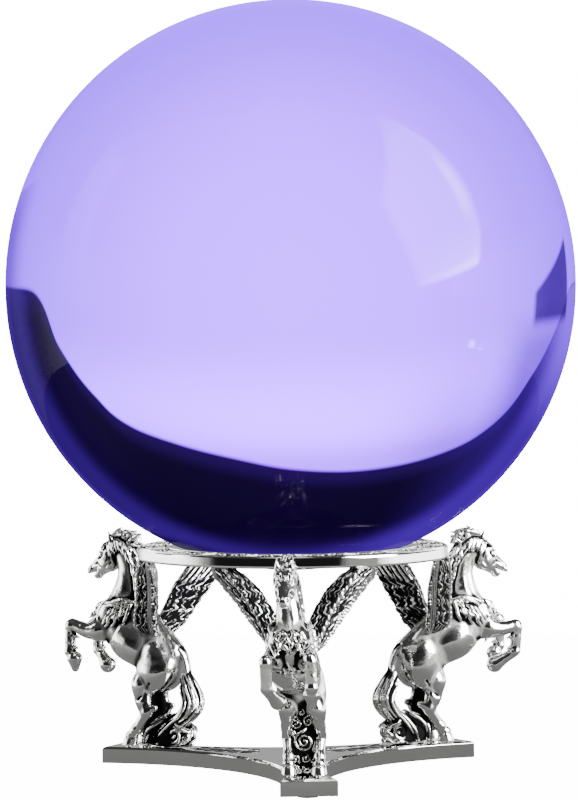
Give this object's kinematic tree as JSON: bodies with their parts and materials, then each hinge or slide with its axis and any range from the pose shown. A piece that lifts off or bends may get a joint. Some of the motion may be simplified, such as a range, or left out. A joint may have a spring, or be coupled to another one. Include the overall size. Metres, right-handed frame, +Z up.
{
  "type": "crystal ball on stand",
  "caption": "Solid violet glass ball resting loose in the seat of a flat ring carried on the raised wings of rearing winged-horse castings, which stand on a three-armed plate.",
  "frame": {"origin": "on the ball's vertical axis, at the underside of the three foot pads", "axes": "+Z up; the front arm of the plate and its horse point to -Y; the other two arms are at 120 degrees to it"},
  "size_m": [0.15, 0.15, 0.2036],
  "materials": {
    "ball_glass": "polished solid violet glass",
    "polished_chrome": "polished plated casting, dark in the recesses",
    "antiqued_chrome": "plated casting with black antiquing wiped back from the high spots",
    "fastener_steel": "plain turned steel",
    "pad_felt": "black wool felt"
  },
  "bodies": {
    "stand": {"support_ring": "polished_chrome", "base_plate": "polished_chrome", "pegasus_front_body": "polished_chrome", "pegasus_front_tail": "antiqued_chrome", "pegasus_front_wing_left": "antiqued_chrome", "wing_pin_front_left": "fastener_steel", "hoof_pin_front_left": "fastener_steel", "pegasus_front_wing_right": "antiqued_chrome", "wing_pin_front_right": "fastener_steel", "hoof_pin_front_right": "fastener_steel", "tail_screw_front": "fastener_steel", "foot_pad_front": "pad_felt", "pegasus_left_body": "polished_chrome", "pegasus_left_tail": "antiqued_chrome", "pegasus_left_wing_left": "antiqued_chrome", "wing_pin_left_left": "fastener_steel", "hoof_pin_left_left": "fastener_steel", "pegasus_left_wing_right": "antiqued_chrome", "wing_pin_left_right": "fastener_steel", "hoof_pin_left_right": "fastener_steel", "tail_screw_left": "fastener_steel", "foot_pad_left": "pad_felt", "pegasus_right_body": "polished_chrome", "pegasus_right_tail": "antiqued_chrome", "pegasus_right_wing_left": "antiqued_chrome", "wing_pin_right_left": "fastener_steel", "hoof_pin_right_left": "fastener_steel", "pegasus_right_wing_right": "antiqued_chrome", "wing_pin_right_right": "fastener_steel", "hoof_pin_right_right": "fastener_steel", "tail_screw_right": "fastener_steel", "foot_pad_right": "pad_felt"},
    "ball": {"crystal_ball": "ball_glass"}
  },
  "joints": [
    {"name": "ball_lift", "type": "slide", "parent": "stand", "child": "ball", "axis": [0, 0, 1], "range_m": [0, 0.04]}
  ]
}
